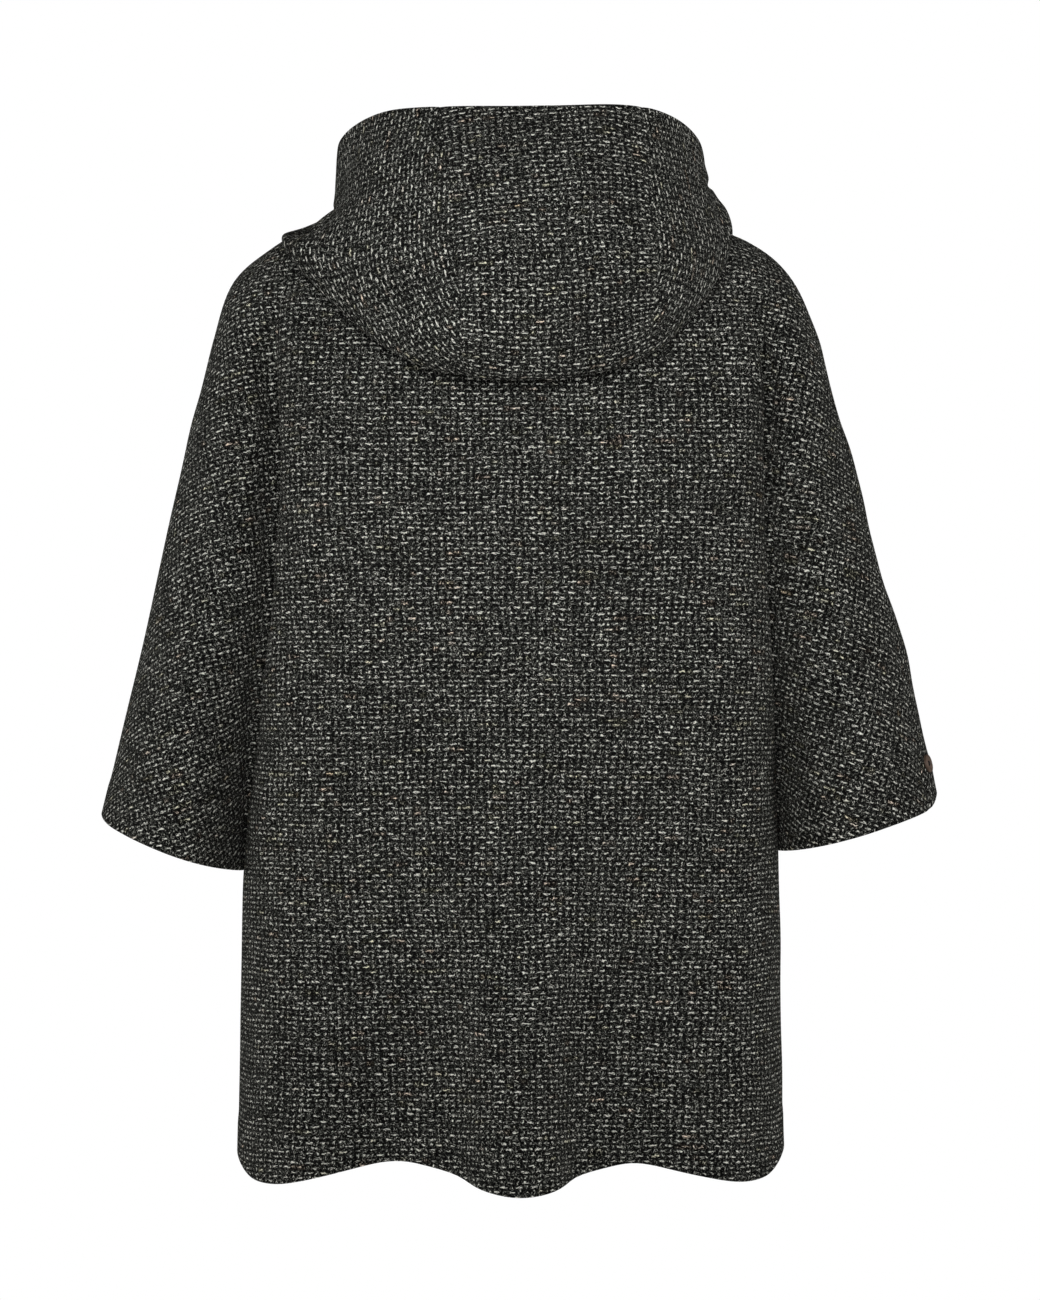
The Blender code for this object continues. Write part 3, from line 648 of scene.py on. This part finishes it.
heights = np.linspace(0, 1, 111)
left_seam = read(HOOD_SEAMS_COLUMNS, HOOD_SEAMS, "left", heights)[:, None]
right_seam = read(HOOD_SEAMS_COLUMNS, HOOD_SEAMS, "right", heights)[:, None]
for number, name, first, last, spans, flat, area in (
    (3, "hood_centre", left_seam, right_seam, 56, (0.170, 0.428), 0.0617),
    (4, "hood_right", right_seam - SEAM_LAP, HOOD_FRONT, 90, (0.228, 0.378), 0.0529),
    (5, "hood_left", -HOOD_FRONT, left_seam + SEAM_LAP, 90, (0.259, 0.436), 0.0742),
):
    share = np.linspace(0, 1, spans + 1)[None, :]
    bearing = first + share * (last - first)
    height = np.broadcast_to(heights[:, None], bearing.shape)
    points = hood_surface(bearing, height)
    dip = np.exp(-(((bearing - BRIM_DIP_BEARING) / BRIM_DIP_WIDTH) ** 2))
    points[..., 2] -= BRIM_DIP * height**6 * dip
    around, down = np.radians(bearing) * HOOD_REACH, (1 - height) * HOOD_LENGTH
    relief = crease_height(around, down, HOOD_CREASES) + 0.7 * unevenness(around, down, 2.2)
    relief *= ease(height / 0.5) * ease((180 - np.abs(bearing)) / 60)
    relief += turned_edge(from_edge(points, 0, True)) * ease((180 - np.abs(bearing)) / 40)
    if name != "hood_right":
        relief += seam_dip(from_edge(points, 1, name == "hood_left"))
    if name != "hood_left":
        relief += seam_dip(from_edge(points, 1, name == "hood_centre"))
    grain = ((110, spans // 2), (70, spans // 2), -90)
    if name == "hood_right":
        grain = ((105, 0), (60, 0), 180)
    if name == "hood_left":
        grain = ((105, spans), (60, spans), 180)
    piece = sew(f"{name}_cloth", points, relief, np.full(spans + 1, 110), grain, number)
    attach(piece, "root")
    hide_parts(name)

# The button: a small turned horn button on the right front, beside the overarm seam and a little
# above the cuff. It lies flat on the cloth, sewn through two holes with dark thread.
BUTTON_PROFILE = (
    (0.0000, 0.0019),
    (0.0040, 0.0019),
    (0.0050, 0.0022),
    (0.0058, 0.0030),
    (0.0065, 0.0032),
    (0.0071, 0.0029),
    (0.0075, 0.0021),
    (0.0075, 0.0011),
    (0.0071, 0.0003),
    (0.0064, 0.0000),
    (0.0000, 0.0000),
)
HOLE_OFF, HOLE_RADIUS, HOLE_DEPTH = 0.0016, 0.0010, 0.0015
THREAD_RADIUS, THREAD_RISE = 0.00045, 0.0007

horn = bpy.data.materials.new("brown_horn")
horn.use_nodes = True
growth = horn.node_tree
# Horn grows in thin layers, so it is streaked: about 2 mm apart along one way, and long the other
place = add(growth, "TexCoord", output="Object")
streak = add(growth, "VectorMath", place, (500, 160, 160), operation="MULTIPLY")
streak = add(growth, "TexNoise", streak, None, 1.0, 3.0)
shade = add(growth, "ValToRGB", streak)
horn_tones = ((0.3, "#46352b"), (0.7, "#7d6859"))
for point, (spot, tone) in zip(shade.node.color_ramp.elements, horn_tones):
    point.position = spot
    point.color = linear(tone)
# It was polished, and handling has dulled it unevenly
dull = add(growth, "TexNoise", place, None, 700.0, 2.0)
dull = add(growth, "MapRange", dull, 0.3, 0.7, 0.38, 0.60)
growth.links.new(shade, growth.nodes["Principled BSDF"].inputs["Base Color"])
growth.links.new(dull, growth.nodes["Principled BSDF"].inputs["Roughness"])
worn = add(growth, "Bump", 0.25, 0.0002, None, streak)
growth.links.new(worn, growth.nodes["Principled BSDF"].inputs["Normal"])

# The seat: the node's own middle, brought down to the nearest point of the cloth
cloth = fronts["right"].data
places, ups = np.zeros(len(cloth.vertices) * 3), np.zeros(len(cloth.vertices) * 3)
cloth.vertices.foreach_get("co", places)
cloth.vertex_normals.foreach_get("vector", ups)
places, ups = places.reshape(-1, 3), ups.reshape(-1, 3)
middle = np.mean(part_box("cuff_button"), axis=0)
nearest = np.argmin(np.linalg.norm(places - middle, axis=1))
outward = ups[nearest]
seat = middle - outward * np.dot(middle - places[nearest], outward)
down = np.cross(np.cross(outward, (0, 0, -1)), outward)
down /= np.linalg.norm(down)
beside = np.cross(down, outward)


def on_button(across, lengthways, height):
    """Points beside the button's middle, along the sleeve from it and above its seat."""
    flat = across[..., None] * beside + lengthways[..., None] * down
    return seat + flat + height[..., None] * outward


def closed_round(name, points, material):
    """A mesh on a grid whose columns go all the way round, each end row gathered to one point."""
    rows, columns = points.shape[:2]
    index = np.arange(rows * columns).reshape(rows, columns)
    nearer, further = index[:-1], index[1:]
    quads = np.stack([nearer, further, np.roll(further, -1, 1), np.roll(nearer, -1, 1)], axis=-1)
    mesh = bpy.data.meshes.new(name)
    mesh.from_pydata(points.reshape(-1, 3).tolist(), [], quads.reshape(-1, 4).tolist())
    gathered = bmesh.new()
    gathered.from_mesh(mesh)
    bmesh.ops.remove_doubles(gathered, verts=gathered.verts, dist=1e-7)
    gathered.to_mesh(mesh)
    gathered.free()
    mesh.materials.append(material)
    mesh.shade_smooth()
    piece = bpy.data.objects.new(name, mesh)
    bpy.context.scene.collection.objects.link(piece)
    return piece


profile = np.array(BUTTON_PROFILE)
length = np.insert(np.cumsum(np.linalg.norm(np.diff(profile, axis=0), axis=1)), 0, 0)
run = np.linspace(0, length[-1], 121)[:, None]
radius = np.interp(run, length, profile[:, 0])
height = np.interp(run, length, profile[:, 1])
angle = np.linspace(0, 2 * math.pi, 73)[None, :-1]
across, lengthways = radius * np.cos(angle), radius * np.sin(angle)
height = height + 0 * angle
for hole in (-HOLE_OFF, HOLE_OFF):
    off = np.hypot(across, lengthways - hole) / HOLE_RADIUS
    height = height - HOLE_DEPTH * (1 - ease((off - 0.75) / 0.25)) * (run < length[1])
button = closed_round("cuff_button_horn", on_button(across, lengthways, height), horn)
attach(button, "root")
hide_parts("cuff_button")

# The button's thread: two strands of dark waxed thread from hole to hole, matt and a little fuzzy
waxed = bpy.data.materials.new("dark_waxed_thread")
waxed.use_nodes = True
twist = waxed.node_tree
ply = add(twist, "TexCoord", output="Object")
ply = add(twist, "TexNoise", ply, None, 2500.0, 1.0)
shade = add(twist, "ValToRGB", ply)
thread_tones = ((0.3, "#0d0b0a"), (0.7, "#2b2522"))
for point, (spot, tone) in zip(shade.node.color_ramp.elements, thread_tones):
    point.position = spot
    point.color = linear(tone)
twist.links.new(shade, twist.nodes["Principled BSDF"].inputs["Base Color"])
fuzz = add(twist, "Bump", 0.4, 0.0002, None, ply)
twist.links.new(fuzz, twist.nodes["Principled BSDF"].inputs["Normal"])
twist.nodes["Principled BSDF"].inputs["Roughness"].default_value = 0.8

# Each strand is a round section carried along half an ellipse that dips into both holes
bend = np.linspace(-0.12 * math.pi, 1.12 * math.pi, 33)[:, None]
around = np.linspace(0, 2 * math.pi, 13)[None, :-1]
thick = THREAD_RADIUS * np.sqrt(np.clip(1 - ((bend - math.pi / 2) / (0.62 * math.pi)) ** 6, 0, 1))
for strand, aside in (("near", -0.00042), ("far", 0.00042)):
    reach = HOLE_OFF + thick * np.cos(around)
    rise = 0.0019 + (THREAD_RISE + thick * np.cos(around)) * np.sin(bend)
    points = on_button(aside + thick * np.sin(around), reach * np.cos(bend), rise)
    thread = closed_round(f"cuff_button_thread_{strand}", points, waxed)
    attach(thread, "root")

# The studio: a pale painted floor under the cape, which hangs as if worn, and soft light from round
# lamps: one near its back, turned up so that its light fades towards the hem, a level one further
# off, one at each side and one for the front, between two pale walls.
FLOOR_DROP = 1.25
FLOOR_RADIUS = 1.5
# How strongly the pale walls at the sides throw light back, and the rest of the room
WALLS, ROOM = 0.31, 0.01
# Each lamp: its name, place, the point it is turned to, and watts
LAMPS = (
    ("near_lamp", (0, -1.9, 0), (0, 0, 1.4), 22),
    ("level_lamp", (0, -3.0, 0), (0, 0, -0.2), 9.5),
    ("left_lamp", (-2.6, -1.2, 0), (0, 0, -0.1), 16),
    ("right_lamp", (2.6, -1.2, 0), (0, 0, -0.1), 14),
    ("front_lamp", (0, 2.8, 0.2), (0, 0, -0.2), 46),
)
turn = np.linspace(0, 2 * math.pi, 129)[:-1]
rim = FLOOR_RADIUS * np.stack([np.cos(turn), np.sin(turn), 0 * turn], axis=-1)
rim -= (0, 0, FLOOR_DROP)
mesh = bpy.data.meshes.new("floor")
mesh.from_pydata(rim.tolist(), [], [list(range(128))])
paint = bpy.data.materials.new("pale_floor_paint")
paint.use_nodes = True
rolled = paint.node_tree
spread = add(rolled, "TexNoise", add(rolled, "TexCoord", output="Object"), None, 6.0, 3.0)
shade = add(rolled, "ValToRGB", spread)
paint_tones = ((0.3, "#e4e3df"), (0.7, "#edece9"))
for point, (spot, tone) in zip(shade.node.color_ramp.elements, paint_tones):
    point.position = spot
    point.color = linear(tone)
rolled.links.new(shade, rolled.nodes["Principled BSDF"].inputs["Base Color"])
rolled.nodes["Principled BSDF"].inputs["Roughness"].default_value = 0.8
mesh.materials.append(paint)
floor = bpy.data.objects.new("floor", mesh)
bpy.context.scene.collection.objects.link(floor)

world = bpy.data.worlds.new("white_room")
world.use_nodes = True
room = world.node_tree
aside = add(room, "SeparateXYZ", add(room, "TexCoord", output="Generated"), output="X")
aside = add(room, "Math", aside, aside, operation="MULTIPLY")
bounce = add(room, "Math", aside, WALLS, ROOM, operation="MULTIPLY_ADD")
strength = add(room, "Mix", add(room, "LightPath", output="Is Camera Ray"), None, bounce, 1.0)
room.nodes["Background"].inputs["Color"].default_value = (1, 1, 1, 1)
room.links.new(strength, room.nodes["Background"].inputs["Strength"])
bpy.context.scene.world = world
for name, place, aim, watts in LAMPS:
    light = bpy.data.lights.new(name, "AREA")
    light.shape = "DISK"
    light.size = 0.8
    light.energy = watts
    lamp = bpy.data.objects.new(name, light)
    lamp.visible_camera = False
    lamp.location = place
    lamp.rotation_euler = (Vector(aim) - Vector(place)).to_track_quat("-Z", "Y").to_euler()
    bpy.context.scene.collection.objects.link(lamp)
bpy.context.scene.view_settings.view_transform = "Standard"

# The camera: level, square to the back and 3.2 m from the middle of the neck, as far as a studio
# camera stands from a worn garment.
camera = bpy.data.cameras.new("camera")
camera.sensor_width = 36
camera.lens = 3855 / 1300 * 36
view = bpy.data.objects.new("camera", camera)
view.location = (0, -3.2, -0.3735)
view.rotation_euler = (math.pi / 2, 0, 0)
bpy.context.scene.collection.objects.link(view)
bpy.context.scene.camera = view
